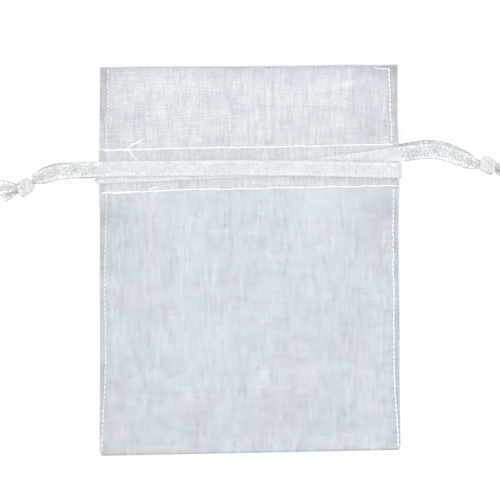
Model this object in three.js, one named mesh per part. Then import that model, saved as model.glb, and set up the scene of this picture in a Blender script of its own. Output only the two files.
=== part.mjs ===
// Drawstring gift pouch of sheer cloth, lying on its back wall with the mouth towards +Y.
// Millimetres, +Z up. The origin is under the middle of the pouch, on the surface it lies on.
//
// A strip of cloth is folded at the bottom into a back wall and a front wall. At the mouth each
// wall turns in on itself as a hem, and two stitch rows across the hem leave a channel between
// the wall's outer cloth and its facing. Stitched side seams close the sides, except where the
// channel ends. Two flat drawstrings run round through both channels: the left one leaves the
// pouch on the left and folds back at the right side, and the right one does the opposite.

import * as THREE from 'three';

// Driving dimensions
const pouchWidth = 70;
const pouchLength = 90;
const headerLength = 18.5; // mouth edge to the upper stitch row
const channelWidth = 9.6; // upper stitch row to the lower one
const hemMargin = 1.6; // lower stitch row to the hem's raw edge
const pocketGap = 4.2; // free height inside the pouch
const clothThickness = 0.2;
const ribbonWidth = 3.5;
const ribbonThickness = 0.2;
const layerGap = 0.3; // between one layer and the next
const seamInset = 1.6; // side edge to the middle of its stitch row
const threadWidth = 0.4;
const rowEndInset = 3.3; // side edge to the end of a stitch row
const allowanceWidth = 1.0;

// How far each drawstring's folded end stands out past the pouch's side, and its fold's depth
const leftFoldReach = 0.5;
const rightFoldReach = 0.8;
const foldDepth = 2.0;

// Knots
const knotLength = 4.2;
const knotWidth = 4.0;
const knotHeight = 3.6;
const knotClearance = 0.1; // under the knot
const strandSpread = 1.2; // between the two strands where they enter the knot

// Layers of one wall, counted from the outside in: cloth, two ribbons and the hem's facing
const wallDepth = 2 * clothThickness + 2 * ribbonThickness + 3 * layerGap;
const pouchDepth = 2 * wallDepth + pocketGap;
const outerRibbonDepth = clothThickness + layerGap + ribbonThickness / 2;
const innerRibbonDepth = outerRibbonDepth + ribbonThickness + layerGap;

// Places that follow from the sizes above
const halfWidth = pouchWidth / 2;
const mouthY = pouchLength / 2;
const bottomY = -pouchLength / 2;
const upperRowY = mouthY - headerLength;
const lowerRowY = upperRowY - channelWidth;
const channelY = (upperRowY + lowerRowY) / 2;
const rowHalfLength = halfWidth - rowEndInset;
const seamX = halfWidth - seamInset;
const facingHalfWidth = seamX - threadWidth / 2 - layerGap;
const mouthFoldRadius = wallDepth / 2;
const bottomFoldRadius = pouchDepth / 2;
const panelBottomY = bottomY + bottomFoldRadius + layerGap;
const panelTopY = mouthY - mouthFoldRadius - layerGap;

const organza = new THREE.MeshStandardMaterial({ color: 0xdbe1ea, roughness: 0.55, metalness: 0 });
const thread = new THREE.MeshStandardMaterial({ color: 0xfbfbfd, roughness: 0.5, metalness: 0 });
const ribbon = new THREE.MeshStandardMaterial({ color: 0xeceff2, roughness: 0.45, metalness: 0 });

function named(name, geometry, material) {
  const mesh = new THREE.Mesh(geometry, material);
  mesh.name = name;
  return mesh;
}

// A flat plate between two values on each axis.
function plate(name, [x0, x1], [y0, y1], [z0, z1], material) {
  const mesh = named(name, new THREE.BoxGeometry(x1 - x0, y1 - y0, z1 - z0), material);
  mesh.position.set((x0 + x1) / 2, (y0 + y1) / 2, (z0 + z1) / 2);
  return mesh;
}

// Cloth turned over through half a circle, as wide as the cloth: a half ring along X.
function clothFold(name, width, radius, bulgesTowardsMouth, material) {
  const section = new THREE.Shape();
  section.absarc(0, 0, radius, -Math.PI / 2, Math.PI / 2, false);
  section.absarc(0, 0, radius - clothThickness, Math.PI / 2, -Math.PI / 2, true);
  section.closePath();
  const geometry = new THREE.ExtrudeGeometry(section, {
    depth: width, steps: 1, curveSegments: 16, bevelEnabled: false,
  });
  geometry.translate(0, 0, -width / 2);
  // the section's x becomes Y and its y becomes Z
  geometry.applyMatrix4(new THREE.Matrix4().set(0, 0, 1, 0, 1, 0, 0, 0, 0, 1, 0, 0, 0, 0, 0, 1));
  if (!bulgesTowardsMouth) geometry.rotateZ(Math.PI);
  return named(name, geometry, material);
}

// Height of a layer at the given depth under a wall's outer face.
function layerZ(wall, depth) {
  return wall === 'front' ? pouchDepth - depth : depth;
}

// The two heights that bound a layer, lowest first.
function layerSpan(wall, outerDepth, innerDepth) {
  return [layerZ(wall, outerDepth), layerZ(wall, innerDepth)].sort((a, b) => a - b);
}

const outerCloth = (wall) => layerSpan(wall, 0, clothThickness);
const facingCloth = (wall) => layerSpan(wall, wallDepth - clothThickness, wallDepth);

// The parts of a wall between the bottom and the upper stitch row.
function lowerWall(wall) {
  const parts = new THREE.Group();
  const rowZ = layerSpan(wall, clothThickness + layerGap, wallDepth - clothThickness - layerGap);
  const rowX = [-rowHalfLength, rowHalfLength];
  const besideRow = layerGap / 2;
  parts.add(
    plate(`${wall}_panel`, [-halfWidth, halfWidth], [panelBottomY, upperRowY - besideRow],
      outerCloth(wall), organza),
    plate(`${wall}_channel_facing`, [-facingHalfWidth, facingHalfWidth],
      [lowerRowY - hemMargin, upperRowY - besideRow], facingCloth(wall), organza),
  );
  for (const [row, y] of [['upper', upperRowY], ['lower', lowerRowY]]) {
    parts.add(plate(`${wall}_${row}_stitch_row`, rowX,
      [y - threadWidth / 2, y + threadWidth / 2], rowZ, thread));
  }
  return parts;
}

// The doubled cloth above the upper stitch row, with its fold at the mouth.
function header(wall) {
  const parts = new THREE.Group();
  const headerY = [upperRowY + layerGap / 2, panelTopY];
  const mouthFold = clothFold(`${wall}_mouth_fold`, 2 * facingHalfWidth, mouthFoldRadius, true,
    organza);
  mouthFold.position.set(0, mouthY - mouthFoldRadius, layerZ(wall, mouthFoldRadius));
  parts.add(
    plate(`${wall}_header_panel`, [-halfWidth, halfWidth], headerY, outerCloth(wall), organza),
    plate(`${wall}_header_facing`, [-facingHalfWidth, facingHalfWidth], headerY,
      facingCloth(wall), organza),
    mouthFold,
  );
  return parts;
}

function bottomFold() {
  const fold = clothFold('bottom_fold', pouchWidth, bottomFoldRadius, false, organza);
  fold.position.set(0, bottomY + bottomFoldRadius, bottomFoldRadius);
  return fold;
}

// One side's seams, below and above the channel's open end: a stitch row, and outside it the
// cloth edges that the seam encloses.
function sideSeams(side, direction) {
  const parts = new THREE.Group();
  const seamZ = [clothThickness + layerGap, pouchDepth - clothThickness - layerGap];
  const rowEndGap = threadWidth / 2 + layerGap;
  const stretches = {
    body: [panelBottomY, lowerRowY - rowEndGap],
    header: [upperRowY + rowEndGap, panelTopY],
  };
  const across = (inner, width) => [inner, inner + width]
    .map((x) => x * direction)
    .sort((a, b) => a - b);
  const rowInner = seamX - threadWidth / 2;
  const edgeInner = rowInner + threadWidth + layerGap / 2;
  for (const [stretch, span] of Object.entries(stretches)) {
    parts.add(
      plate(`${side}_${stretch}_seam_row`, across(rowInner, threadWidth), span, seamZ, thread),
      plate(`${side}_${stretch}_seam_allowance`, across(edgeInner, allowanceWidth), span, seamZ,
        organza),
    );
  }
  return parts;
}

// A flat strip bent along a curve. Its width stays level, across the curve's heading.
function bentStrip(name, curve, steps, material) {
  const geometry = new THREE.BoxGeometry(1, ribbonWidth, ribbonThickness, steps, 1, 1);
  const positions = geometry.getAttribute('position');
  const turnSmoothing = 0.2; // keeps the width's direction steady where the curve is upright
  const vertex = new THREE.Vector3();
  for (let i = 0; i < positions.count; i += 1) {
    vertex.fromBufferAttribute(positions, i);
    const along = THREE.MathUtils.clamp(vertex.x + 0.5, 0, 1);
    const tangent = curve.getTangentAt(along);
    const heading = Math.sign(tangent.x) || 1;
    const level = new THREE.Vector3(-tangent.y * heading, Math.abs(tangent.x) + turnSmoothing, 0);
    const up = new THREE.Vector3().crossVectors(tangent, level).normalize();
    const across = new THREE.Vector3().crossVectors(up, tangent);
    const point = curve.getPointAt(along);
    point.addScaledVector(across, vertex.y).addScaledVector(up, vertex.z);
    positions.setXYZ(i, point.x, point.y, point.z);
  }
  return named(name, geometry, material);
}

// How far off the channel's middle a ribbon can lie without touching a stitch row, how far off
// the right drawstring leaves the pouch, and where that lets the left one fold back beside it
const ribbonPlay = (channelWidth - threadWidth - ribbonWidth) / 2 - layerGap;
const rightExit = ribbonPlay + 0.35;
const leftFoldOffset = rightExit - ribbonWidth - 0.18;

// Each drawstring's route in plan, from its knot to its fold: [x, y from the channel's middle,
// how far it has come down from its layer towards the knot, 0 to 1]
const leftRoute = [
  [-halfWidth - 15.6, -2.95, 1],
  [-halfWidth - 14.0, -2.45, 0.86],
  [-halfWidth - 11.6, -1.75, 0.42],
  [-halfWidth - 9.2, -1.2, 0.06],
  [-halfWidth - 8.0, -1.05, 0],
  [-halfWidth - 4.0, -0.75, 0],
  [-halfWidth + 2.0, -0.5, 0],
  [-halfWidth / 2, -0.35, 0],
  [0, -0.2, 0],
  [halfWidth / 2, -0.4, 0],
  [halfWidth + leftFoldReach - foldDepth - 1.5, leftFoldOffset, 0],
];
const rightRoute = [
  [halfWidth + 18.7, rightExit - 2.3, 1],
  [halfWidth + 17.0, rightExit - 1.85, 0.86],
  [halfWidth + 14.6, rightExit - 0.95, 0.5],
  [halfWidth + 11.0, rightExit + 0.25, 0.1],
  [halfWidth + 9.0, rightExit + 0.7, 0],
  [halfWidth + 6.5, rightExit + 0.85, 0],
  [halfWidth + 2.6, rightExit + 0.4, 0],
  [halfWidth - 1.5, rightExit, 0],
  [halfWidth - rowEndInset, 0.98 * ribbonPlay, 0],
  [halfWidth - 13.0, 0.45 * ribbonPlay, 0],
  [halfWidth - 23.0, -0.04 * ribbonPlay, 0],
  [-halfWidth * 0.3, -0.43 * ribbonPlay, 0],
  [-halfWidth - rightFoldReach + foldDepth + 1.5, -0.8 * ribbonPlay, 0],
];

const knotZ = knotClearance + knotHeight / 2;
const leftKnotPlace = [-halfWidth - 17.3, channelY - 4.65, knotZ];
const rightKnotPlace = [halfWidth + 20.9, channelY + rightExit - 2.45, knotZ];

// The whole drawstring: along the front channel, round its fold, and back behind it.
function drawstring(name, route, ribbonDepth, foldTipX, foldDirection) {
  const frontZ = layerZ('front', ribbonDepth);
  const backZ = layerZ('back', ribbonDepth);
  const strand = (levelZ, knotEntryZ) => route.map(([x, y, drop]) => new THREE.Vector3(
    x, channelY + y, levelZ + drop * (knotEntryZ - levelZ)));
  const front = strand(frontZ, knotZ + strandSpread / 2);
  const back = strand(backZ, knotZ - strandSpread / 2);
  const foldY = channelY + route.at(-1)[1];
  const halfRise = (frontZ - backZ) / 2;
  const fold = [90, 60, 30, 0, -30, -60, -90].map((degrees) => {
    const angle = THREE.MathUtils.degToRad(degrees);
    const x = foldTipX - foldDirection * foldDepth * (1 - Math.cos(angle));
    return new THREE.Vector3(x, foldY, backZ + halfRise * (1 + Math.sin(angle)));
  });
  const curve = new THREE.CatmullRomCurve3([...front, ...fold, ...back.reverse()]);
  const stations = 76;
  return bentStrip(name, curve, stations, ribbon);
}

function knot(name, place) {
  const ball = new THREE.SphereGeometry(0.5, 16, 12);
  ball.scale(knotLength, knotWidth, knotHeight);
  const mesh = named(name, ball, ribbon);
  mesh.position.set(...place);
  return mesh;
}

// A cut end of ribbon that sticks out of its knot, heading away in plan at the given angle.
function ribbonEnd(name, knotPlace, headingDegrees, length, height) {
  const heading = THREE.MathUtils.degToRad(headingDegrees);
  const direction = new THREE.Vector3(Math.cos(heading), Math.sin(heading), 0);
  const start = knotLength / 2 + layerGap;
  const at = (distance) => new THREE.Vector3(...knotPlace)
    .addScaledVector(direction, distance)
    .setZ(height);
  const curve = new THREE.CatmullRomCurve3([at(start), at(start + length / 2), at(start + length)]);
  return bentStrip(name, curve, 2, ribbon);
}

const upperEndZ = knotZ + strandSpread;
const lowerEndZ = knotZ - strandSpread / 2;

const pouch = new THREE.Group();
pouch.add(lowerWall('back'), lowerWall('front'), header('back'), bottomFold());
pouch.add(sideSeams('left', -1), sideSeams('right', 1));

const mouthFront = header('front');

const leftDrawstring = new THREE.Group();
leftDrawstring.add(
  drawstring('left_drawstring', leftRoute, outerRibbonDepth, halfWidth + leftFoldReach, 1),
  knot('left_knot', leftKnotPlace),
  ribbonEnd('left_upper_end', leftKnotPlace, 172, 3.4, upperEndZ),
  ribbonEnd('left_lower_end', leftKnotPlace, 190, 3.2, lowerEndZ),
);

const rightDrawstring = new THREE.Group();
rightDrawstring.add(
  drawstring('right_drawstring', rightRoute, innerRibbonDepth, -halfWidth - rightFoldReach, -1),
  knot('right_knot', rightKnotPlace),
  ribbonEnd('right_upper_end', rightKnotPlace, -6, 3.4, upperEndZ),
  ribbonEnd('right_lower_end', rightKnotPlace, -22, 3.2, lowerEndZ),
);

const part = new THREE.Group();
part.add(pouch, mouthFront, leftDrawstring, rightDrawstring);

export default part;
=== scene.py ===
"""Drawstring gift pouch of sheer organza, laid flat with two ribbon drawstrings.

The pouch is one strip of cloth folded at the bottom, hemmed at the mouth, and sewn up its sides.
Two stitch rows across each hem leave a channel, and two flat ribbons run round through both.
"""

import math
import random

import bpy
from mathutils import Matrix, Vector


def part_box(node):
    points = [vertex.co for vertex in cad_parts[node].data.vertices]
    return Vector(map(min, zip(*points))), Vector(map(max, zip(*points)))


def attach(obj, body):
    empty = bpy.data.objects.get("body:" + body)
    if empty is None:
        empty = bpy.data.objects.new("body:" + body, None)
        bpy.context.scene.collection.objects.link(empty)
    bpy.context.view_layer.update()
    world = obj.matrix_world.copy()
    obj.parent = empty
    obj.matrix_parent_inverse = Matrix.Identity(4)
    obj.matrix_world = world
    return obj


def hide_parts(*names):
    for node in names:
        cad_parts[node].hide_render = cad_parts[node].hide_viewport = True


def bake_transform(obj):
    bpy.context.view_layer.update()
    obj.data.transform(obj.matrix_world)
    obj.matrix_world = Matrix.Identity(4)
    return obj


bl_info = {
    "name": "Organza Gift Pouch",
    "version": (1, 0, 0),
    "blender": (4, 5, 0),
    "location": "3D View > Sidebar > Gift Pouch",
    "description": "Builds the cloth, stitching, drawstrings and studio of a sheer gift pouch",
    "category": "Object",
}

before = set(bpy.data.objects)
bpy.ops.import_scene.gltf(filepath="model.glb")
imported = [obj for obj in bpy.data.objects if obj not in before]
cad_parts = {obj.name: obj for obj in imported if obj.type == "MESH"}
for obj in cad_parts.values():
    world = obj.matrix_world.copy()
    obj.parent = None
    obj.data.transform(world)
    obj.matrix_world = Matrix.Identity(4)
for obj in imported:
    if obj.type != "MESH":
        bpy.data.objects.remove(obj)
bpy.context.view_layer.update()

MM = 0.001
SIDES = {"left": -1, "right": 1}

# Layers of cloth, from the surface the pouch lies on upwards
BACK, BACK_FACING, FRONT_FACING, FRONT = range(4)


def node_box(node):
    """A CAD node's lowest and highest corners, as vectors."""
    low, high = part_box(node)
    return Vector(low), Vector(high)


HALF_WIDTH, _, TOP_Z = node_box("front_panel")[1]
MOUTH_Y = node_box("front_mouth_fold")[1].y
BOTTOM_Y = node_box("bottom_fold")[0].y
UPPER_ROW, LOWER_ROW = (sum(corner.y for corner in node_box(f"front_{row}_stitch_row")) / 2
                        for row in ("upper", "lower"))
CHANNEL_Y = (UPPER_ROW + LOWER_ROW) / 2
HALF_CHANNEL = (UPPER_ROW - LOWER_ROW) / 2


# --- Sizes and colours that a user would change ---


def number_choice(name, description, default, low, high, **kind):
    """A number that a user sets."""
    return bpy.props.FloatProperty(name=name, description=description, default=default,
                                   min=low, max=high, **kind)


def length_choice(name, description, default, low, high):
    """A length that a user sets, here in millimetres."""
    return number_choice(name, description, default * MM, low * MM, high * MM,
                         unit="LENGTH", precision=5)


def colour_choice(name, description, *default):
    """A colour that a user sets."""
    return bpy.props.FloatVectorProperty(name=name, description=description, default=default,
                                         subtype="COLOR", min=0, max=1)


class PouchSizes(bpy.types.PropertyGroup):
    cloth_thickness: length_choice(
        "Cloth thickness", "Thickness of one layer of organza", 0.12, 0.05, 0.4)
    weave_pitch: length_choice(
        "Weave pitch", "Distance from one visible cloth thread to the next", 0.74, 0.1, 2)
    stitch_length: length_choice(
        "Stitch length", "Length of one stitch of the channel rows", 2.4, 1, 6)
    thread_radius: length_choice(
        "Thread radius", "Half the thickness of the sewing thread", 0.15, 0.05, 0.5)
    ribbon_width: length_choice("Ribbon width", "Width of both drawstrings", 3.6, 2, 8)
    ribbon_thickness: length_choice(
        "Ribbon thickness", "Thickness of both drawstrings", 0.2, 0.1, 0.6)


class PouchColours(bpy.types.PropertyGroup):
    # One organza: the hem and facing colours are lighter than the body's as painted light, for the
    # layered header and the channels.
    organza: colour_choice(
        "Organza", "Colour of the single cloth of the body", 0.683, 0.735, 0.777)
    hem: colour_choice(
        "Hem", "Colour of the doubled cloth above the channels", 0.855, 0.875, 0.975)
    facing: colour_choice(
        "Facing", "Colour of the turned-in cloth behind the channels", 1.0, 1.0, 1.0)
    seam_edge: colour_choice(
        "Seam edge", "Colour of the cloth edges enclosed in the side seams", 0.58, 0.63, 0.635)
    ribbon: colour_choice("Ribbon", "Colour of the drawstrings", 0.8, 0.815, 0.825)
    thread: colour_choice("Thread", "Colour of the sewing thread", 1.0, 1.0, 1.0)


class PouchStudio(bpy.types.PropertyGroup):
    view_width: length_choice(
        "View width", "Width of the table that the camera shows", 116.7, 20, 1000)
    lens: number_choice(
        "Lens", "Focal length of the overhead camera, in millimetres", 300.0, 20, 1000)
    sky: number_choice("Sky", "Strength of the even light from all round", 0.9, 0, 5)
    softbox: number_choice("Softbox", "Power of the overhead soft light, in watts", 4.8, 0, 50)


# --- Materials ---


class Signal:
    """A number that varies over a surface. Python arithmetic on it adds Math nodes."""

    def __init__(self, finish, socket):
        self.finish = finish
        self.socket = socket

    def math(self, operation, *operands):
        node = self.finish.node("ShaderNodeMath", {"operation": operation},
                                dict(enumerate(operands)))
        return Signal(self.finish, node.outputs[0])

    def __add__(self, other):
        return self.math("ADD", self, other)

    __radd__ = __add__

    def __sub__(self, other):
        return self.math("SUBTRACT", self, other)

    def __rsub__(self, other):
        return self.math("SUBTRACT", other, self)

    def __mul__(self, other):
        return self.math("MULTIPLY", self, other)

    def wave(self, pitch):
        """0 to 1 and back once in every pitch."""
        return self.math("SINE", self * (2 * math.pi / pitch)) * 0.5 + 0.5

    def magnitude(self):
        return self.math("ABSOLUTE", self)

    def rise(self, start, end):
        """0 below start, 1 above end, and smooth between."""
        node = self.finish.node(
            "ShaderNodeMapRange", {"interpolation_type": "SMOOTHSTEP"},
            {"Value": self, "From Min": start, "From Max": end})
        return Signal(self.finish, node.outputs["Result"])


class Finish:
    """A material under construction, with one Principled shader."""

    def __init__(self, name, fixed):
        self.material = bpy.data.materials.new(name)
        self.material.use_nodes = True
        self.tree = self.material.node_tree
        self.shader = self.tree.nodes["Principled BSDF"]
        for socket, value in fixed.items():
            self.shader.inputs[socket].default_value = value

    def node(self, kind, settings=None, inputs=None):
        node = self.tree.nodes.new(kind)
        for setting, value in (settings or {}).items():
            setattr(node, setting, value)
        for key, value in (inputs or {}).items():
            self.feed(node.inputs[key], value)
        return node

    def feed(self, socket, value):
        if isinstance(value, Signal):
            value = value.socket
        if isinstance(value, bpy.types.NodeSocket):
            self.tree.links.new(value, socket)
        else:
            socket.default_value = value

    def drive(self, name, value):
        """Gives an input of the shader its value, or joins it to what varies."""
        self.feed(self.shader.inputs[name], value)

    def cloth_coordinates(self, turn_degrees=0.0):
        """Distance across and along the flat cloth in metres, on axes turned by a small angle."""
        uv = self.node("ShaderNodeUVMap", {"uv_map": "cloth"})
        parts = self.node("ShaderNodeSeparateXYZ", {}, {0: uv.outputs[0]})
        across, along = (Signal(self, parts.outputs[i]) for i in range(2))
        cosine = math.cos(math.radians(turn_degrees))
        sine = math.sin(math.radians(turn_degrees))
        return across * cosine - along * sine, along * cosine + across * sine

    def noise(self, across, along, across_scale, along_scale, detail, seed):
        """Noise from 0 to 1 whose grains have their own size across and along the cloth."""
        place = self.node("ShaderNodeCombineXYZ", {},
                          {0: across * across_scale, 1: along * along_scale, 2: seed})
        noise = self.node("ShaderNodeTexNoise", {},
                          {"Vector": place.outputs[0], "Scale": 1.0, "Detail": detail})
        return Signal(self, noise.outputs[0])

    def blend_colours(self, factor, first, second):
        """A mix of two colours, each a tuple of three numbers or an output socket."""
        first, second = ((*c, 1.0) if isinstance(c, tuple) else c for c in (first, second))
        mix = self.node("ShaderNodeMix", {"data_type": "RGBA"},
                        {"Factor": factor, 6: first, 7: second})
        return mix.outputs[2]

    def bump(self, height, distance, strength=1.0):
        node = self.node("ShaderNodeBump", {},
                         {"Height": height, "Distance": distance, "Strength": strength})
        self.drive("Normal", node.outputs[0])


def tinted(colour, red, green, blue):
    """The colour with each channel scaled."""
    return tuple(min(1.0, c * k) for c, k in zip(colour, (red, green, blue)))


def organza_finish(name, colour, cover, seed, contrast, lean, warp, turn_degrees=0.0,
                   folds=(), hems=None, side_shade=0.0):
    """Sheer plain weave, with painted shade along its folds, and dimmer over the seams.

    cover is how much one face hides, lean how much more its light threads hide than its dark
    ones, and warp how much plainer the lengthwise threads show than the crosswise ones. folds
    pairs a distance along the cloth with how far the painted shade of the fold there reaches.
    hems holds two more: before the first the cloth is sheerer, as a ribbon lies close behind it.
    Painted light brightens it there, more faintly for 9 mm beyond the first, and beyond the
    second, where it is doubled. side_shade makes its sides darker and denser.
    """
    pitch = bpy.context.scene.pouch_sizes.weave_pitch
    finish = Finish(name, {"Sheen Weight": 0.15, "Sheen Roughness": 0.4,
                           "Specular IOR Level": 0.35})
    across, along = finish.cloth_coordinates(turn_degrees)
    check = (across.wave(pitch) - 0.5) * (along.wave(pitch * 1.03) - 0.5) * 4.0
    crossing = finish.noise(across, along, 420, 300, 2.0, seed + 2.2).rise(0.3, 0.6)
    slubs = finish.noise(across, along, 1000, 180, 3.0, seed)
    threads = finish.noise(across, along, 2300, 240, 1.5, seed + 5.6)
    picks = finish.noise(across, along, 200, 2300, 1.5, seed + 3.1)
    bands = finish.noise(across, along, 70, 480, 1.0, seed + 9.3)
    clouds = finish.noise(across, along, 170, 34, 2.0, seed + 7.7)
    body = (clouds - 0.5) * 0.7 + (slubs - 0.5) * 0.8 + (threads - 0.5) * 1.7 * warp
    body = body + (picks - 0.5) * (1.7 / warp) + (bands - 0.5) * 0.6 + check * crossing * 0.85
    light = 0.57 + body * 0.75 * contrast
    # Painted shade: each fold darkens the cloth in a thin crease, and more faintly for its reach
    # beside it.
    for fold, reach in folds:
        distance = (along - fold).magnitude()
        crease = 1.0 - distance.rise(0.35 * MM, 0.95 * MM)
        near_fold_shade = 1.0 - distance.rise(0.0, reach)
        light = light - crease * 0.5 - near_fold_shade * 0.3
    from_middle = across.magnitude()
    margin = from_middle.rise(HALF_WIDTH - 1.8 * MM, HALF_WIDTH - 0.4 * MM)
    side = from_middle.rise(HALF_WIDTH - 2.0 * MM, HALF_WIDTH - 1.4 * MM)
    light = light - margin * 0.12 - side * side_shade
    alpha = (0.85 + body * lean * contrast + side * side_shade * 0.6) * cover
    # Painted light: lighter over the channel, more faintly for 9 mm below it, and over the doubled
    # hem at the back.
    if hems:
        channel_end, hem_start = hems
        channel = 1.0 - along.rise(channel_end, channel_end + 0.5 * MM)
        hem = along.rise(hem_start - 0.5 * MM, hem_start)
        below = 1.0 - along.rise(channel_end, channel_end + 9 * MM)
        light = light + channel * 0.34 + hem * 0.35 + below * 0.1
        alpha = alpha * (1.0 - channel * 0.65)
    finish.drive("Alpha", alpha)
    tint = finish.noise(across, along, 160, 70, 1.0, seed + 12.4).rise(0.3, 0.7)
    green = finish.blend_colours(light, tinted(colour, 0.59, 0.6, 0.598),
                                 tinted(colour, 1.185, 1.2, 1.19))
    lilac = finish.blend_colours(light, tinted(colour, 0.605, 0.595, 0.602),
                                 tinted(colour, 1.215, 1.195, 1.21))
    finish.drive("Base Color", finish.blend_colours(tint, green, lilac))
    finish.drive("Roughness", 0.65 - slubs * 0.25)
    finish.bump(check * 0.5 + threads, 0.01 * MM, 0.4)
    return finish.material


def seam_edge_finish(name, light, cover):
    """Layers of raw edge pressed together, ribbed by the stitches and thinning out inwards.

    light scales the colour, and cover how much of what lies under the edges they hide.
    """
    colour = tuple(bpy.context.scene.pouch_colours.seam_edge)
    finish = Finish(name, {"Roughness": 0.7})
    inset, along = finish.cloth_coordinates()
    ticks = along.wave(0.62 * MM)
    fuzz = finish.noise(inset, along, 2600, 1300, 3.0, 2.0)
    patches = finish.noise(inset, along, 300, 160, 1.0, 8.0)
    thinning = 1.0 - inset.rise(0.8 * MM, 1.5 * MM) * 0.65 - inset.rise(2.2 * MM, 2.7 * MM) * 0.3
    shade = ticks * 0.3 + fuzz * 0.7
    dark, bright = (tinted(colour, *(share * light,) * 3) for share in (0.8, 1.2))
    finish.drive("Base Color", finish.blend_colours(shade, dark, bright))
    finish.drive("Alpha", thinning * (0.35 + fuzz * 0.35 + patches * 0.4) * cover)
    finish.bump(shade, 0.08 * MM)
    return finish.material


def thread_finish(name, colour):
    """Twisted sewing thread."""
    finish = Finish(name, {"Roughness": 0.45, "Sheen Weight": 0.2})
    place = finish.node("ShaderNodeTexCoord").outputs["Object"]
    parts = finish.node("ShaderNodeSeparateXYZ", {}, {0: place})
    x, y, z = (Signal(finish, parts.outputs[i]) for i in range(3))
    twist = (x + y + z * 1.4).wave(0.42 * MM)
    finish.drive("Base Color",
                 finish.blend_colours(twist, tinted(colour, 0.93, 0.94, 0.95), colour))
    finish.bump(twist, 0.03 * MM, 0.7)
    return finish.material


def ribbon_finish(name, speckle=1.0, painted_light_span=None):
    """Narrow sheer ribbon: a speckled open ground between white selvedges with looped cords.

    speckle is how much of the ground shows: pulled tight, the ribbon is plainer.
    painted_light_span holds the two distances along it between which it lies in the channel,
    where painted light makes it whiter and its dark rim fainter.
    """
    colour = tuple(bpy.context.scene.pouch_colours.ribbon)
    half_width = bpy.context.scene.pouch_sizes.ribbon_width / 2
    finish = Finish(name, {"Roughness": 0.5, "Sheen Weight": 0.2})
    across, along = finish.cloth_coordinates()
    from_edge = half_width - across.magnitude()
    rim = 1.0 - from_edge.rise(0.04 * MM, 0.2 * MM)
    selvedge = (1.0 - from_edge.rise(0.3 * MM, 0.55 * MM)) * (1.0 - rim)
    loops = along.wave(0.9 * MM).rise(0.35, 0.75)
    loops = loops * (1.0 - (from_edge - 0.62 * MM).magnitude().rise(0.1 * MM, 0.32 * MM))
    loops = loops * finish.noise(across, along, 500, 500, 2.0, 3.5).rise(0.32, 0.6)
    twill = (along + across * 0.8).wave(0.5 * MM)
    fleck = finish.noise(across, along, 3400, 2600, 3.0, 5.5).rise(0.44, 0.58)
    mottle = finish.noise(across, along, 900, 420, 2.0, 8.5).rise(0.3, 0.68)
    white = fleck * 0.46 + mottle * 0.28 + twill * 0.2 + selvedge * 0.2 + loops * 0.66
    # Painted light inside the channel: a fainter dark rim here, and a whiter weave below.
    if painted_light_span:
        start, end = painted_light_span
        inside = along.rise(start, start + 2 * MM) * (1.0 - along.rise(end - 2 * MM, end))
        rim = rim * (1.0 - inside * 0.7)
    white = 1.0 - (1.0 - white) * speckle
    white = white.math("MAXIMUM", white.math("MINIMUM", white, 1.0), 0.0)
    woven = finish.blend_colours(white, tinted(colour, 0.62, 0.655, 0.67),
                                 tinted(colour, 1.12, 1.11, 1.11))
    if painted_light_span:
        woven = finish.blend_colours(inside * 0.5, woven, tinted(colour, 1.15, 1.09, 1.07))
    finish.drive("Base Color",
                 finish.blend_colours(rim * 0.8, woven, tinted(colour, 0.42, 0.45, 0.46)))
    finish.drive("Alpha", 0.74 + white * 0.24)
    finish.bump(white, 0.06 * MM, 0.8)
    return finish.material


def floor_finish():
    """White paper lit from below, so that hardly a shadow shows on it."""
    finish = Finish("floor_paper", {"Roughness": 0.9, "Specular IOR Level": 0.1,
                                    "Emission Color": (1.0, 1.0, 1.0, 1.0),
                                    "Emission Strength": 0.86})
    place = finish.node("ShaderNodeTexCoord").outputs["Object"]
    grain = finish.node("ShaderNodeTexNoise", {}, {"Vector": place, "Scale": 900.0})
    finish.drive("Base Color",
                 finish.blend_colours(grain.outputs[0], (0.15,) * 3, (0.165,) * 3))
    return finish.material


# --- Shape of the cloth ---


def smooth(value, start, end):
    """0 at start, 1 at end, smooth between and level beyond."""
    t = min(1.0, max(0.0, (value - start) / (end - start)))
    return t * t * (3 - 2 * t)


LOWER_SKEW = 0.02  # how far the crosswise grain climbs towards the right, below the mouth
MOUTH_SKEW = 0.0085
ROW_SAG = 0.25 * MM  # how far the stitch rows lie below the CAD's
MOUTH_RISE = 0.14 * MM  # and the mouth above it
BOTTOM_DROP = 0.12 * MM  # and the bottom fold below it
RIGHT_SPREAD = 0.5 * MM  # how far the right side lies outside it at the bottom
TOP_NARROWING = 0.68 * MM  # and how much less at the mouth
CORNER_LIFT = 0.34 * MM  # how far the mouth's corners reach past its middle
CORNER_RADIUS = {"bottom": 1.1 * MM, "top": 0.35 * MM}
SEAM_BAND = 2.2 * MM  # flat margin that the side seams press down
SEAM_RISE = 11 * MM  # over which a wall rises from its seam
SEAM_TOP = 0.85 * MM  # height of the front wall at its seams
TABLE_GAP = 0.22 * MM  # and of the back wall
FACING_DROP = {"header": 0.32 * MM, "channel": 1.42 * MM, "row": 0.24 * MM}
CHANNEL_FADE = (0.5 * MM, 8 * MM)  # beyond the stitch rows, where the walls settle again
BOTTOM_RISE = 16 * MM  # over which the front wall rises from the bottom fold
RIPPLE_HEIGHT = 0.1 * MM
CLOTH_STEP = 0.9 * MM  # size of a cloth face
FOLD_REACH = 0.35 * MM  # how far a turned edge reaches past the level cloth
FOLD_STEPS = 8

UPPER_LINE = UPPER_ROW - ROW_SAG
LOWER_LINE = LOWER_ROW - ROW_SAG
TOP_LINE = MOUTH_Y + MOUTH_RISE
BOTTOM_LINE = BOTTOM_Y - BOTTOM_DROP


def skew(y):
    """How far the cloth's crosswise grain climbs towards the right at this height."""
    return LOWER_SKEW + (MOUTH_SKEW - LOWER_SKEW) * smooth(y, UPPER_LINE + 2 * MM, TOP_LINE)


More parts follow.
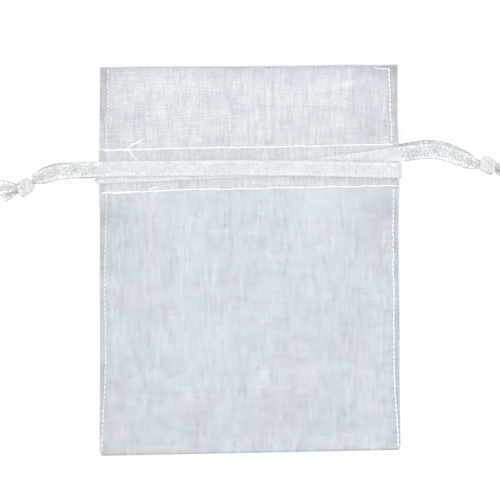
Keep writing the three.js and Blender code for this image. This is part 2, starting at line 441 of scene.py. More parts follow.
def skewed(x, y):
    """Where a point of the straight cloth lies in plan once it is skewed."""
    lift = CORNER_LIFT * smooth(y, UPPER_LINE, TOP_LINE) * (x / HALF_WIDTH) ** 2
    return (x, y + skew(y) * x + lift)


def side_edge(side, y):
    """x of the pouch's edge at this height: side is -1 for the left and 1 for the right."""
    up = (y - BOTTOM_LINE) / (TOP_LINE - BOTTOM_LINE)
    inset = 0.05 * MM * (1 + math.sin(y * 190 + side))
    for distance, radius in ((y - BOTTOM_LINE, CORNER_RADIUS["bottom"]),
                             (TOP_LINE - y, CORNER_RADIUS["top"])):
        if distance < radius:
            reach = radius - max(distance, 0.0)
            inset += 0.7 * (radius - math.sqrt(radius**2 - reach**2))
    spread = RIGHT_SPREAD - TOP_NARROWING * up if side > 0 else 0.0
    return side * (HALF_WIDTH - inset) + spread


def beyond_rows(y):
    """How far a height is outside the channel's two stitch rows, below 0 between them."""
    return abs(y - CHANNEL_Y + ROW_SAG) - HALF_CHANNEL


def loft(x, y):
    """How far the front wall has risen, from 0 on the seams to 1 where it is highest."""
    from_side = HALF_WIDTH - abs(x)
    at_side = smooth(from_side, SEAM_BAND, SEAM_BAND + SEAM_RISE)
    at_side += (1.0 - at_side) * (1.0 - smooth(beyond_rows(y), *CHANNEL_FADE))
    return at_side * smooth(y - BOTTOM_LINE, 0.0, BOTTOM_RISE)


def ripple(x, y, seed):
    """Slight unevenness of loose cloth, in metres."""
    waves = (
        math.sin(x * 131 + seed) * math.sin(y * 83 + 1.7 * seed)
        + 0.6 * math.sin(x * 247 - y * 61 + 2.3 * seed)
        + 0.4 * math.sin(y * 211 + x * 37 + 0.9 * seed)
    )
    return RIPPLE_HEIGHT * waves


def facing_drop(y):
    """Distance of a facing from its wall: pinched at the stitch rows, open between them."""
    beyond = beyond_rows(y)
    place, reach = ("header", 2 * MM) if beyond > 0 else ("channel", 1.1 * MM)
    at_row = FACING_DROP["row"]
    return at_row + (FACING_DROP[place] - at_row) * smooth(abs(beyond), 0, reach)


def layer_height(layer, x, y):
    """Height of one layer of cloth above the table."""
    raised = loft(x, y)
    floor = TABLE_GAP + 0.5 * ripple(x, y, 4.0) * raised
    ceiling = SEAM_TOP + (TOP_Z - 0.1 * MM - SEAM_TOP) * raised + ripple(x, y, 1.0) * raised
    room = ceiling - floor
    drop = min(facing_drop(y), 0.3 * room)
    return {BACK: floor, BACK_FACING: floor + drop,
            FRONT_FACING: ceiling - drop, FRONT: ceiling}[layer]


def flat_run(layer, y_from, y_to):
    """Stations of a level run of cloth: y, layer, the layer it turns to, and how far."""
    count = max(1, round(abs(y_to - y_from) / CLOTH_STEP))
    return [(y_from + (y_to - y_from) * i / count, layer, layer, 0.0) for i in range(count + 1)]


def turned_edge(layer_from, layer_to, edge_y, direction):
    """Stations round a fold whose tip is at edge_y, facing +Y or -Y."""
    stations = []
    for i in range(1, FOLD_STEPS):
        angle = math.pi * i / FOLD_STEPS
        y = edge_y - direction * FOLD_REACH * (1 - math.sin(angle))
        stations.append((y, layer_from, layer_to, (1 - math.cos(angle)) / 2))
    return stations


def station_point(station, share):
    """The point of a strip at a station, at a share of the way from its left to its right."""
    y, layer_from, layer_to, turned = station
    left, right = side_edge(-1, y), side_edge(1, y)
    x = left + (right - left) * share
    z_from = layer_height(layer_from, x, y)
    z_to = layer_height(layer_to, x, y)
    return Vector((*skewed(x, y), z_from + (z_to - z_from) * turned))


def running_lengths(path):
    """Distance along the path at each of its points."""
    lengths = [0.0]
    for a, b in zip(path, path[1:]):
        lengths.append(lengths[-1] + (b - a).length)
    return lengths


def station_lengths(stations):
    """Distance along the strip's middle at each station."""
    return running_lengths([station_point(station, 0.5) for station in stations])


# --- Making meshes ---


def clear_selection():
    if bpy.context.object and bpy.context.object.mode != "OBJECT":
        bpy.ops.object.mode_set(mode="OBJECT")
    bpy.ops.object.select_all(action="DESELECT")


def select_only(piece):
    clear_selection()
    piece.select_set(True)
    bpy.context.view_layer.objects.active = piece


def smooth_shaded(piece, degrees=50):
    select_only(piece)
    bpy.ops.object.shade_smooth_by_angle(angle=math.radians(degrees))


def finished_piece(piece, material):
    piece.data.materials.clear()
    piece.data.materials.append(material)
    return piece


def set_cloth_uv(piece, uv_of_vertex):
    """Gives the piece one UV map called cloth."""
    while piece.data.uv_layers:
        piece.data.uv_layers.remove(piece.data.uv_layers[0])
    uv = piece.data.uv_layers.new(name="cloth").data
    for loop in piece.data.loops:
        uv[loop.index].uv = uv_of_vertex[loop.vertex_index]


def move_vertices(piece, place):
    """Moves each vertex to place(x, y, z), which returns its point and its UV."""
    uv_of_vertex = {}
    for vertex in piece.data.vertices:
        vertex.co, uv_of_vertex[vertex.index] = place(*vertex.co)
    set_cloth_uv(piece, uv_of_vertex)


def sheet_piece(name, columns, rows, place, thickness, material, flipped=False):
    """A sheet whose vertices lie at place(column, row), which returns a point and its UV."""
    clear_selection()
    bpy.ops.mesh.primitive_grid_add(x_subdivisions=columns, y_subdivisions=rows, size=1)
    piece = bpy.context.object
    piece.name = piece.data.name = name
    move_vertices(piece, lambda x, y, _: place(round((x + 0.5) * columns),
                                               round((y + 0.5) * rows)))
    if flipped:
        piece.data.flip_normals()
    solidify = piece.modifiers.new("Thickness", "SOLIDIFY")
    solidify.thickness, solidify.offset = thickness, 0.0
    bpy.ops.object.modifier_apply(modifier=solidify.name)
    smooth_shaded(piece)
    return finished_piece(piece, material)


def cloth_strip(name, stations, share_from, share_to, material):
    """A strip of organza laid along its stations, with its own thickness."""
    columns = round((share_to - share_from) * 2 * HALF_WIDTH / CLOTH_STEP)
    lengths = station_lengths(stations)

    def place(column, row):
        share = share_from + (share_to - share_from) * column / columns
        return station_point(stations[row], share), (2 * HALF_WIDTH * (share - 0.5), lengths[row])

    piece = sheet_piece(name, columns, len(stations) - 1, place,
                        bpy.context.scene.pouch_sizes.cloth_thickness, material)
    return piece


def tube_piece(name, runs, radius, material, sides=2):
    """Round thread along each run of points, closed at its ends."""
    clear_selection()
    curve = bpy.data.curves.new(name, "CURVE")
    curve.dimensions = "3D"
    curve.bevel_depth = radius
    curve.bevel_resolution = sides
    curve.use_fill_caps = True
    for run in runs:
        spline = curve.splines.new("POLY")
        spline.points.add(len(run) - 1)
        for bend, point in zip(spline.points, run):
            bend.co = (*point, 1.0)
    piece = bpy.data.objects.new(name, curve)
    bpy.context.collection.objects.link(piece)
    select_only(piece)
    bpy.ops.object.convert(target="MESH")
    piece = bpy.context.object
    smooth_shaded(piece, 60)
    return finished_piece(piece, material)


def joined(name, pieces):
    """Several meshes as one piece."""
    clear_selection()
    for piece in pieces:
        piece.select_set(True)
    bpy.context.view_layer.objects.active = pieces[0]
    bpy.ops.object.join()
    piece = bpy.context.object
    piece.name = piece.data.name = name
    return piece


# --- Stitching ---


STITCH_STEPS = 8
HOLE_STRAY = 0.1  # how far a hole strays from the row, in millimetres
CROWN, SINK = 2.2, 1.4  # a stitch's rise and the depth of its holes, in thread radii


def cloth_height(layer, x, y):
    """Height of a layer under a point that already carries the cloth's skew."""
    return layer_height(layer, x, y - skew(y) * x)


def sewn_thread(name, guide, layer, pitch, radius, material, seed, under=False, apart=False):
    """A lockstitched thread along the guide, dipping into the cloth at each hole.

    With apart, each stitch is a run of its own, for thread that is pulled out of sight between.
    """
    rng = random.Random(seed)
    legs = [(b - a).length for a, b in zip(guide, guide[1:])]
    stitches = max(1, round(sum(legs) / pitch))
    drift = [rng.uniform(-HOLE_STRAY, HOLE_STRAY) * MM for _ in range(stitches + 2)]
    points = []
    for i in range(stitches * STITCH_STEPS + 1):
        distance = sum(legs) * i / (stitches * STITCH_STEPS)
        leg = 0
        while leg < len(legs) - 1 and distance > legs[leg]:
            distance -= legs[leg]
            leg += 1
        place = guide[leg].lerp(guide[leg + 1], min(1.0, distance / legs[leg]))
        heading = (guide[leg + 1] - guide[leg]).normalized()
        stitch, phase = divmod(i, STITCH_STEPS)
        along = phase / STITCH_STEPS
        place += Vector((-heading.y, heading.x, 0)) * (
            drift[stitch] + (drift[stitch + 1] - drift[stitch]) * along)
        crown = math.sin(math.pi * along) ** 0.5 if 0 < along < 1 else 0.0
        lift = radius * (crown * CROWN - SINK)
        points.append(Vector((place.x, place.y, cloth_height(layer, place.x, place.y)
                              + (-lift if under else lift))))
    if not apart:
        return tube_piece(name, [points], radius, material)
    runs = [points[i * STITCH_STEPS + 1:(i + 1) * STITCH_STEPS] for i in range(stitches)]
    return tube_piece(name, runs, radius, material, sides=1)


# --- Drawstrings ---

CHANNEL_MIDDLE = CHANNEL_Y / MM
EDGE = HALF_WIDTH / MM
DEPTH = TOP_Z / MM
OUTER_LAYER = 0.6  # depth of the left ribbon's middle under a wall's outer face
INNER_LAYER = 1.1  # and of the right one's
KNOT_Z = 1.9
STRAND_SPREAD = 1.2
FOLD_DEPTH = 2.0
RIGHT_EXIT = 2.9  # how far above the channel's middle the right drawstring leaves
RIBBON_PLAY = 2.55
LEFT_FOLD = -0.78
LEFT_TIP = EDGE + 0.5
RIGHT_TIP = -EDGE - 0.8

# In plan from the knot to the fold: x, y from the channel's middle, and how far the strand has
# come down from its layer towards the knot. Millimetres.
LEFT_ROUTE = [
    (-EDGE - 15.6, -2.95, 1),
    (-EDGE - 14.0, -2.45, 0.86),
    (-EDGE - 11.6, -1.75, 0.42),
    (-EDGE - 9.2, -1.2, 0.06),
    (-EDGE - 8.0, -1.05, 0),
    (-EDGE - 4.0, -0.75, 0),
    (-EDGE + 2.0, -0.5, 0),
    (-EDGE / 2, -0.35, 0),
    (0, -0.2, 0),
    (EDGE / 2, -0.4, 0),
    (LEFT_TIP - FOLD_DEPTH - 1.5, LEFT_FOLD, 0),
]
RIGHT_ROUTE = [
    (EDGE + 18.7, RIGHT_EXIT - 2.3, 1),
    (EDGE + 17.0, RIGHT_EXIT - 1.85, 0.86),
    (EDGE + 14.6, RIGHT_EXIT - 0.95, 0.5),
    (EDGE + 11.0, RIGHT_EXIT + 0.25, 0.1),
    (EDGE + 9.0, RIGHT_EXIT + 0.7, 0),
    (EDGE + 6.5, RIGHT_EXIT + 0.85, 0),
    (EDGE + 2.6, RIGHT_EXIT + 0.4, 0),
    (EDGE - 1.5, RIGHT_EXIT, 0),
    (EDGE - 3.3, 0.98 * RIBBON_PLAY, 0),
    (EDGE - 13.0, 0.45 * RIBBON_PLAY, 0),
    (EDGE - 23.0, -0.04 * RIBBON_PLAY, 0),
    (-EDGE * 0.3, -0.43 * RIBBON_PLAY, 0),
    (RIGHT_TIP + FOLD_DEPTH + 1.5, -0.8 * RIBBON_PLAY, 0),
]


def left_fan(x):
    """How far the lower strand of the left tail shows above the upper one, in millimetres."""
    return 0.45 * smooth(-x, EDGE + 5, EDGE + 10) * (1 - smooth(-x, EDGE + 11.5, EDGE + 15))


def right_fan(x):
    """The same for the right tail, whose strands lie further apart."""
    return 0.85 * smooth(x, EDGE - 7, EDGE + 6) * (1 - smooth(x, EDGE + 12, EDGE + 18))


def route_points(route, layer_depth, tip_x, fold_direction, fan):
    """The drawstring's chosen points: front strand, fold and back strand, in millimetres."""
    front_z, back_z = DEPTH - layer_depth, layer_depth
    front, back = [], []
    for x, y, drop in route:
        place = (x, CHANNEL_MIDDLE + y)
        front.append(Vector((*place, front_z + drop * (KNOT_Z + STRAND_SPREAD / 2 - front_z))))
        back.append(Vector((x, CHANNEL_MIDDLE + y + fan(x),
                            back_z + drop * (KNOT_Z - STRAND_SPREAD / 2 - back_z))))
    fold_y = CHANNEL_MIDDLE + route[-1][1]
    half_rise = (front_z - back_z) / 2
    fold = []
    for degrees in range(90, -91, -30):
        angle = math.radians(degrees)
        x = tip_x - fold_direction * FOLD_DEPTH * (1 - math.cos(angle))
        fold.append(Vector((x, fold_y, back_z + half_rise * (1 + math.sin(angle)))))
    return front + fold + back[::-1]


def smooth_curve(points, steps):
    """A centripetal Catmull-Rom curve through the points, with this many steps per stretch."""
    padded = [points[0] * 2 - points[1], *points, points[-1] * 2 - points[-2]]
    curve = []
    for p0, p1, p2, p3 in zip(padded, padded[1:], padded[2:], padded[3:]):
        d0, d1, d2 = (math.sqrt((b - a).length) for a, b in ((p0, p1), (p1, p2), (p2, p3)))
        leave = ((p1 - p0) / d0 - (p2 - p0) / (d0 + d1) + (p2 - p1) / d1) * d1
        arrive = ((p2 - p1) / d1 - (p3 - p1) / (d1 + d2) + (p3 - p2) / d2) * d1
        for i in range(steps):
            t = i / steps
            square, cube = t * t, t * t * t
            curve.append(p1 * (2 * cube - 3 * square + 1) + leave * (cube - 2 * square + t)
                         + p2 * (3 * square - 2 * cube) + arrive * (cube - square))
    curve.append(points[-1].copy())
    return curve


def ribbon_frames(path):
    """At each point of the path: the direction across the ribbon and the one out of its face."""
    frames = []
    last = len(path) - 1
    for i in range(len(path)):
        tangent = (path[min(i + 1, last)] - path[max(i - 1, 0)]).normalized()
        heading = 1.0 if tangent.x >= 0 else -1.0
        level = Vector((-tangent.y * heading, abs(tangent.x) + 0.2, 0))
        face = tangent.cross(level).normalized()
        frames.append((face.cross(tangent), face))
    return frames


def ribbon_piece(name, path, width_at, material, flutter=0.0, ragged=0.0):
    """A flat woven ribbon along the path, level or fluttering, with a straight or ragged end."""
    columns, rows = 14, len(path) - 1
    frames = ribbon_frames(path)
    rng = random.Random(name)
    fray = [rng.uniform(-ragged, ragged) for _ in range(columns + 1)]
    end_tangent = (path[-1] - path[-2]).normalized()
    lengths = running_lengths(path)
    sizes = bpy.context.scene.pouch_sizes
    full_width = sizes.ribbon_width

    def place(column, row):
        share = column / columns - 0.5
        across, face = frames[row]
        width = width_at(lengths[row])
        gathered = 1.0 - width / full_width
        wave = flutter * math.sin(lengths[row] / (1.1 * MM) + 2) * math.cos(3 * share)
        wave += 0.28 * MM * gathered * math.sin(share * 19)
        point = path[row] + across * (share * width) + face * wave
        point += end_tangent * fray[column] * smooth(row / rows, 0.6, 1)
        return point, (share * full_width, lengths[row])

    return sheet_piece(name, columns, rows, place, sizes.ribbon_thickness, material)


def knot_piece(name, centre, size, heading, slant, material):
    """An overhand knot pulled tight: a sleeve of ribbon with one slanting turn over it."""
    cosine, sine = math.cos(heading), math.sin(heading)
    half_length, half_width, half_height = (extent / 2 for extent in size)

    def girth(t):
        """Radius of the sleeve at t from -1 to 1 along it, against its widest."""
        return max(0.0, 1 - abs(t) ** 3.5) ** 0.5 * (0.93 + 0.07 * math.cos(2.4 * t + 0.6))

    def set_down(t, angle, swell):
        radius = girth(t) * swell
        along = t * half_length
        side = radius * half_width * math.cos(angle)
        up = radius * half_height * math.sin(angle)
        return centre + Vector((along * cosine - side * sine, along * sine + side * cosine, up))

    def sleeve_place(x, y, z):
        t = max(-1.0, min(1.0, z))
        angle = math.atan2(y, x)
        crease = 1 + 0.035 * math.sin(5 * angle + 3 * t) + 0.03 * math.sin(9 * angle - 5 * t)
        return set_down(t, angle, crease), (t * 1.7 * MM, angle * 1.6 * MM)

    def turn_place(x, y, z):
        angle = math.atan2(y, x)
        round_angle = math.atan2(z, math.hypot(x, y) - 1)
        t = slant * math.sin(angle + 0.5) * 0.55 + 0.34 * math.sin(round_angle)
        swell = 1.03 + 0.09 * math.cos(round_angle)
        return (set_down(max(-0.96, min(0.96, t)), angle, swell / max(0.75, girth(t)) * 0.98),
                (0.9 * MM * math.sin(round_angle), angle * 1.7 * MM + 5 * MM))

    clear_selection()
    bpy.ops.mesh.primitive_uv_sphere_add(segments=44, ring_count=26, radius=1)
    sleeve = bpy.context.object
    bpy.ops.mesh.primitive_torus_add(major_segments=56, minor_segments=12, major_radius=1,
                                     minor_radius=0.25)
    turn = bpy.context.object
    for part, place in ((sleeve, sleeve_place), (turn, turn_place)):
        move_vertices(part, place)
        part.data.materials.append(material)
    piece = joined(name, [sleeve, turn])
    bpy.ops.object.mode_set(mode="EDIT")
    bpy.ops.mesh.select_all(action="SELECT")
    bpy.ops.mesh.normals_make_consistent(inside=False)
    bpy.ops.object.mode_set(mode="OBJECT")
    smooth_shaded(piece, 80)
    return finished_piece(piece, material)


# --- Operators ---


class MakeStage(bpy.types.Operator):
    """Lay the white floor, hang the soft lights and set the overhead camera"""

    bl_idname = "pouch.stage"
    bl_label = "Stage"

    def execute(self, context):
        studio = context.scene.pouch_studio
        clear_selection()
        bpy.ops.mesh.primitive_plane_add(size=6.0, location=(0, 0, 0))
        floor = context.object
        floor.name = "floor"
        floor.data.materials.append(floor_finish())
        world = bpy.data.worlds.new("even_sky")
        world.use_nodes = True
        sky = world.node_tree.nodes["Background"]
        sky.inputs["Color"].default_value = (1, 1, 1, 1)
        sky.inputs["Strength"].default_value = studio.sky
        context.scene.world = world
        for name, place, share in (("softbox_key", (-0.35, 0.45, 0.9), 0.6),
                                   ("softbox_fill", (0.5, -0.3, 0.8), 0.4)):
            lamp = bpy.data.lights.new(name, "AREA")
            lamp.energy = studio.softbox * share
            lamp.size = 0.8
            holder = bpy.data.objects.new(name, lamp)
            holder.location = place
            holder.rotation_euler = (-Vector(place)).to_track_quat("-Z", "Y").to_euler()
            context.collection.objects.link(holder)
        camera = bpy.data.cameras.new("overhead")
        camera.lens = studio.lens
        camera.sensor_width = 36.0
        camera.clip_end = 20.0
        eye = bpy.data.objects.new("overhead", camera)
        distance = studio.lens * studio.view_width / camera.sensor_width
        right, up = 0.23 * MM, 2.36 * MM  # the camera's small offset from the pouch's middle
        eye.location = (right, up, distance + TOP_Z / 2)
        context.collection.objects.link(eye)
        context.scene.camera = eye
        context.scene.view_settings.view_transform = "Standard"
        context.scene.cycles.transparent_max_bounces = 40
        context.scene.cycles.diffuse_bounces = 8
        return {"FINISHED"}


class MakeCloth(bpy.types.Operator):
    """Lay the organza strip, its hems and the two halves of the front header"""

    bl_idname = "pouch.cloth"
    bl_label = "Cloth"

    def execute(self, context):
        colours = context.scene.pouch_colours
        hem_end = LOWER_LINE - 0.7 * MM
        above_fold, below_mouth = BOTTOM_LINE + FOLD_REACH, TOP_LINE - FOLD_REACH
        body_front = flat_run(FRONT, UPPER_LINE, above_fold)
        strip = (
            body_front
            + turned_edge(FRONT, BACK, BOTTOM_LINE, -1)
            + flat_run(BACK, above_fold, below_mouth)
            + turned_edge(BACK, BACK_FACING, TOP_LINE, 1)
            + flat_run(BACK_FACING, below_mouth, hem_end)
        )
        header_front = flat_run(FRONT, UPPER_LINE, below_mouth)
        header = (
            header_front
            + turned_edge(FRONT, FRONT_FACING, TOP_LINE, 1)
            + flat_run(FRONT_FACING, below_mouth, UPPER_LINE)
        )
        facing = flat_run(FRONT_FACING, UPPER_LINE, hem_end)
        bottom_at = station_lengths(strip)[len(body_front)] + 0.6 * MM
        back_hem_at = bottom_at + LOWER_LINE - BOTTOM_LINE
        mouth_at = station_lengths(header)[len(header_front)] + 0.4 * MM
        # Painted shade along the bottom fold and the mouth. Painted light over the channels and the
        # doubled hem, and in the lighter hem and facing colours.
        body_finish = organza_finish(
            "organza_body", tuple(colours.organza), cover=0.46, seed=1.0, contrast=0.62,
            lean=-0.4, warp=1.15, folds=((bottom_at, 1 * MM),),
            hems=(UPPER_LINE - LOWER_LINE, back_hem_at))
        facing_finish = organza_finish(
            "organza_facing", tuple(colours.facing), cover=0.42, seed=5.0, contrast=1.0,
            lean=0.3, warp=1.4, turn_degrees=-0.7, side_shade=0.8)
        header_finish = organza_finish(
            "organza_header", tuple(colours.hem), cover=0.32, seed=9.0, contrast=0.68,
            lean=0.3, warp=1.2, turn_degrees=0.6, folds=((mouth_at, 5 * MM),))

        body = cloth_strip("organza_strip", strip, 0, 1, body_finish)
        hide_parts("front_panel", "bottom_fold", "back_panel", "back_header_panel",
                    "back_mouth_fold", "back_header_facing", "back_channel_facing")
        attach(body, "pouch")

        front_facing = cloth_strip("front_facing", facing, 0, 1, facing_finish)
        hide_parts("front_channel_facing")
        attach(front_facing, "pouch")

        for side, (share_from, share_to) in {"left": (0, 0.5), "right": (0.5, 1)}.items():
            half = cloth_strip(f"front_header_{side}", header, share_from, share_to,
                               header_finish)
            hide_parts("front_header_panel", "front_header_facing", "front_mouth_fold")
            bend_with_mouth(half)
        return {"FINISHED"}


def bend_with_mouth(piece):
    """Bakes the piece's placement into its mesh."""
    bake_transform(piece)


class MakeSideSeams(bpy.types.Operator):
    """Sew both sides: the enclosed cloth edges and the stitch row inside them"""

    bl_idname = "pouch.side_seams"
    bl_label = "Side seams"

    def execute(self, context):
        colours = context.scene.pouch_colours
        edge_materials = {"body": seam_edge_finish("seam_edge_body", 1.18, 0.66),
                          "header": seam_edge_finish("seam_edge_header", 0.78, 1.0)}
        materials = {side: thread_finish(f"{side}_seam_thread",
                                         tinted(tuple(colours.thread), *(shade,) * 3))
                     for side, shade in (("left", 0.87), ("right", 0.96))}
        clear = 0.7 * MM
        for side, sign in SIDES.items():
            for stretch, (y_from, y_to) in {
                "body": (BOTTOM_LINE + clear, LOWER_LINE - clear),
                "header": (UPPER_LINE + clear, TOP_LINE - clear),
            }.items():
                band = self.band(f"{side}_{stretch}_seam_edge", sign, y_from, y_to,
                                 edge_materials[stretch])
                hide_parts(f"{side}_{stretch}_seam_allowance")
                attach(band, "pouch")
                row = self.row(f"{side}_{stretch}_seam_thread", sign, y_from, y_to,
                               materials[side])
                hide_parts(f"{side}_{stretch}_seam_row")
                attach(row, "pouch")
        return {"FINISHED"}

    def band(self, name, sign, y_from, y_to, material):
        """The raw edges, pressed flat between the two walls."""
        inner, outer = 2.75 * MM, 0.1 * MM
        columns, rows = 8, round((y_to - y_from) / (0.8 * MM))

        def place(column, row):
            y = y_from + (y_to - y_from) * row / rows
            inset = inner + (outer - inner) * column / columns
            x = side_edge(sign, y) - sign * inset
            z = (layer_height(BACK, x, y) + layer_height(FRONT, x, y)) / 2
            return Vector((*skewed(x, y), z)), (inset, y)

        return sheet_piece(name, columns, rows, place, 0.34 * MM, material,
                           flipped=sign < 0)

    def row(self, name, sign, y_from, y_to, material):
        """The seam's stitches, on the front of the pouch and under its back."""
        radius = (0.14 if sign < 0 else 0.18) * MM
        bends = max(2, round((y_to - y_from) / (6 * MM)))
        heights = [y_from + (y_to - y_from) * i / bends for i in range(bends + 1)]
        guide = [Vector(skewed(side_edge(sign, y) - sign * self.inset(sign, y), y)).to_3d()
                 for y in heights]
        return joined(name, [
            sewn_thread(name, guide, layer, 1.15 * MM, radius, material, name,
                        under=layer == BACK, apart=True)
            for layer in (FRONT, BACK)
        ])

    def inset(self, sign, y):
        """Distance of the stitches from the side: they run out towards the bottom fold."""
        run_out = 1 - smooth(y, BOTTOM_LINE, -26 * MM)
        if sign < 0:
            return (1.3 + 0.6 * smooth(y, 5 * MM, 20 * MM) - 0.9 * run_out) * MM
        lean_in = 0.3 * smooth(y, 20 * MM, 27 * MM) + 0.33 * smooth(y, 29 * MM, TOP_LINE)
        return (1.35 + lean_in - 0.95 * run_out) * MM


class MakeChannelStitching(bpy.types.Operator):
    """Sew the two rows that close each channel, with their loose thread ends"""

    bl_idname = "pouch.channel_stitching"
    bl_label = "Channel stitching"

    def execute(self, context):
        sizes = context.scene.pouch_sizes
        material = thread_finish("row_thread", tuple(context.scene.pouch_colours.thread))
        radius = sizes.thread_radius
        rows = {  # height, droop, the row's two ends, and its backtack's ends and shift
            "upper": (UPPER_LINE, 0.0, (-34.2, 33.4), (-33.6, -28.2, -0.5)),
            "lower": (LOWER_LINE, -0.35 * MM, (-34.3, 34.4), (-31.8, -27.4, -0.55)),
        }
        for wall, layer, inside in (("front", FRONT, FRONT_FACING), ("back", BACK, BACK_FACING)):
            for row, (y, droop, span, backtack) in rows.items():
                name = f"{wall}_{row}_row"
                guide = self.guide(y, droop, *(x * MM for x in span))
                lines = [
                    sewn_thread(name, guide, face, sizes.stitch_length, radius, material, name,
                                under)
                    for face, under in ((layer, wall == "back"), (inside, wall == "front"))
                ]
                x_from, x_to, shift = (measure * MM for measure in backtack)
                tack = self.guide(y + shift, droop - shift * 0.8, x_from, x_to)
                lines.append(sewn_thread(name, tack, layer, sizes.stitch_length * 0.6,
                                         radius * 0.85, material, name + "tack",
                                         wall == "back"))
                piece = joined(name, lines)
                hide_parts(f"{wall}_{row}_stitch_row")
                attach(piece, "pouch")
        self.loose_ends(material)
        return {"FINISHED"}

    def guide(self, y, droop, x_from, x_to):
        """The line that a row follows, which may droop at its left end."""
        bends = 12
        across = [x_from + (x_to - x_from) * i / bends for i in range(bends + 1)]
        return [Vector(skewed(x, y + droop * smooth(-x, 12 * MM, 34 * MM))).to_3d()
                for x in across]

    def loose_ends(self, material):
        """Cut thread ends: x and y of each bend, in millimetres from the pouch's middle."""
        radius = 0.12 * MM
        ends = {
            "row_end_long": ("left", [(-28.4, 25.9), (-27.2, 26.7), (-25.9, 27.3), (-24.6, 28.1)]),
            "row_end_short": ("left", [(-28.2, 25.9), (-27.6, 26.6), (-26.6, 27.2), (-25.4, 27.6)]),
            "mouth_end": ("right", [(29.2, 45.1), (30.6, 44.7), (31.9, 44.8), (32.9, 44.5)]),
            "row_end_low": (None, [(-28.2, 25.7), (-27.4, 24.8), (-26.6, 23.9), (-25.9, 23.1)]),
            "row_end_tail": (None, [(-23.4, 16.4), (-22.2, 16.8), (-21.0, 17.0)]),
        }
        for name, (side, bends) in ends.items():
            path = smooth_curve([Vector((x * MM, y * MM, 0)) for x, y in bends], 6)
            points = [Vector((p.x, p.y, cloth_height(FRONT, p.x, p.y) + radius * 1.2))
                      for p in path]
            piece = tube_piece(name, [points], radius, material)
            if side:
                bend_with_mouth(piece)
            else:
                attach(piece, "pouch")


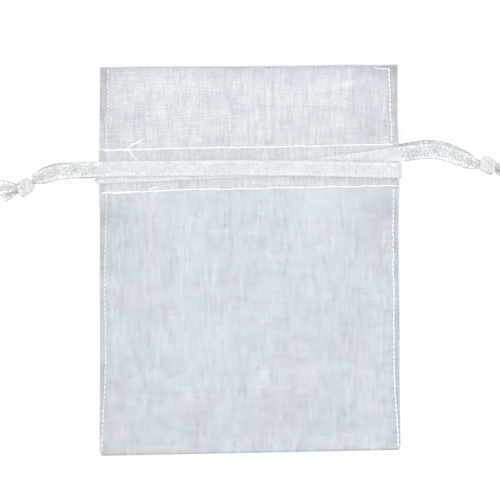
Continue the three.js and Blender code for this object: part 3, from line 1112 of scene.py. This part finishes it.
class MakeDrawstrings(bpy.types.Operator):
    """Thread both ribbons through their channels and knot their ends"""

    bl_idname = "pouch.drawstrings"
    bl_label = "Drawstrings"

    def execute(self, context):
        knot_material = ribbon_finish("ribbon_pulled_tight", 0.75)
        left = route_points(LEFT_ROUTE, OUTER_LAYER, LEFT_TIP, 1, left_fan)
        self.make("left", left, 22, 0.9, knot_material)
        right = route_points(RIGHT_ROUTE, INNER_LAYER, RIGHT_TIP, -1, right_fan)
        self.make("right", right, -20, -0.9, knot_material)
        return {"FINISHED"}

    def make(self, side, chosen, heading, slant, knot_material):
        """One drawstring: its knot lies at a heading in degrees, with its turn at a slant."""
        sizes = bpy.context.scene.pouch_sizes
        body = f"{side}_drawstring_loop"
        path = smooth_curve([point * MM for point in chosen], 8)
        total = running_lengths(path)[-1]
        gather = 3.5 * MM
        tail = abs(path[0].x) - HALF_WIDTH
        # The stretch inside the channel is painted whiter, as painted light.
        material = ribbon_finish(f"{side}_ribbon_weave", painted_light_span=(tail, total - tail))

        def width_at(length):
            from_knot = min(length, total - length)
            rounding = 1.0 * MM * (1 - smooth(abs(length - total / 2), 0, 2.6 * MM)) ** 1.5
            return (sizes.ribbon_width * (0.55 + 0.45 * smooth(from_knot, 0, gather))
                    - rounding)

        ribbon = ribbon_piece(f"{side}_ribbon", path, width_at, material)
        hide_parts(f"{side}_drawstring")
        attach(ribbon, body)
        low, high = node_box(f"{side}_knot")
        size = ((high.x - low.x) * 1.04, (high.y - low.y) * 0.92, high.z - low.z)
        knot = knot_piece(f"{side}_ribbon_knot", (low + high) / 2, size,
                          math.radians(heading), slant, knot_material)
        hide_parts(f"{side}_knot")
        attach(knot, body)
        for end in ("upper", "lower"):
            piece = self.cut_end(side, end, material)
            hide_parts(f"{side}_{end}_end")
            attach(piece, body)

    def cut_end(self, side, end, material):
        """A short frayed end of ribbon that sticks out of its knot."""
        full_width = bpy.context.scene.pouch_sizes.ribbon_width
        knot_centre, centre = (sum(node_box(node), Vector()) / 2
                               for node in (f"{side}_knot", f"{side}_{end}_end"))
        turned = math.radians({"left": 9, "right": 0}[side])
        away = Vector((centre.x - knot_centre.x, centre.y - knot_centre.y)).normalized()
        away.rotate(Matrix.Rotation(turned, 2))
        heading = away.to_3d()
        start = Vector((knot_centre.x, knot_centre.y, centre.z)) + heading * 1.5 * MM
        length = 4.0 * MM
        droop = -0.5 * MM if end == "upper" else 0.2 * MM
        points = [start + heading * length * t + Vector((0, 0, droop * t * t))
                  for t in (0, 0.33, 0.66, 1.0)]
        path = smooth_curve(points, 6)

        def width_at(distance):
            return full_width * (0.35 + 0.6 * smooth(distance, 0, length))

        piece = ribbon_piece(f"{side}_{end}_cut_end", path, width_at, material,
                             flutter=0.12 * MM, ragged=0.45 * MM)
        threads = [piece]
        rng = random.Random(side + end)
        across = Vector((-heading.y, heading.x, 0))
        for _ in range(7):
            root = path[-3] + across * rng.uniform(-1.4, 1.4) * MM
            aim = heading + across * rng.uniform(-0.5, 0.5)
            reach = rng.uniform(0.8, 1.5) * MM
            curl = rng.uniform(-0.3, 0.3) * MM
            points = [root + aim * reach * t + across * curl * t * t + Vector((0, 0, 0.05 * MM))
                      for t in (0, 0.3, 0.6, 1.0)]
            thread = tube_piece(f"{piece.name}_thread", [points], 0.05 * MM, material,
                                sides=1)
            set_cloth_uv(thread, {v.index: (0.0, v.co.x) for v in thread.data.vertices})
            threads.append(thread)
        return joined(f"{side}_{end}_cut_end", threads)


STEPS = (MakeStage, MakeDrawstrings, MakeCloth, MakeSideSeams, MakeChannelStitching)


class PouchPanel(bpy.types.Panel):
    """Steps, sizes and colours of the gift pouch"""

    bl_idname = "VIEW3D_PT_gift_pouch"
    bl_label = "Gift Pouch"
    bl_space_type = "VIEW_3D"
    bl_region_type = "UI"
    bl_category = "Gift Pouch"

    def draw(self, context):
        for step in STEPS:
            self.layout.operator(step.bl_idname)
        for group in (context.scene.pouch_sizes, context.scene.pouch_colours,
                      context.scene.pouch_studio):
            box = self.layout.box()
            for name in group.__annotations__:
                box.prop(group, name)


GROUPS = {"pouch_sizes": PouchSizes, "pouch_colours": PouchColours, "pouch_studio": PouchStudio}
CLASSES = (*GROUPS.values(), *STEPS, PouchPanel)


def register():
    for cls in CLASSES:
        bpy.utils.register_class(cls)
    for name, group in GROUPS.items():
        setattr(bpy.types.Scene, name, bpy.props.PointerProperty(type=group))


def unregister():
    for name in GROUPS:
        delattr(bpy.types.Scene, name)
    for cls in reversed(CLASSES):
        bpy.utils.unregister_class(cls)


def main():
    register()
    bpy.ops.pouch.stage()
    bpy.ops.pouch.drawstrings()
    bpy.ops.pouch.cloth()
    bpy.ops.pouch.side_seams()
    bpy.ops.pouch.channel_stitching()


if __name__ == "__main__":
    main()
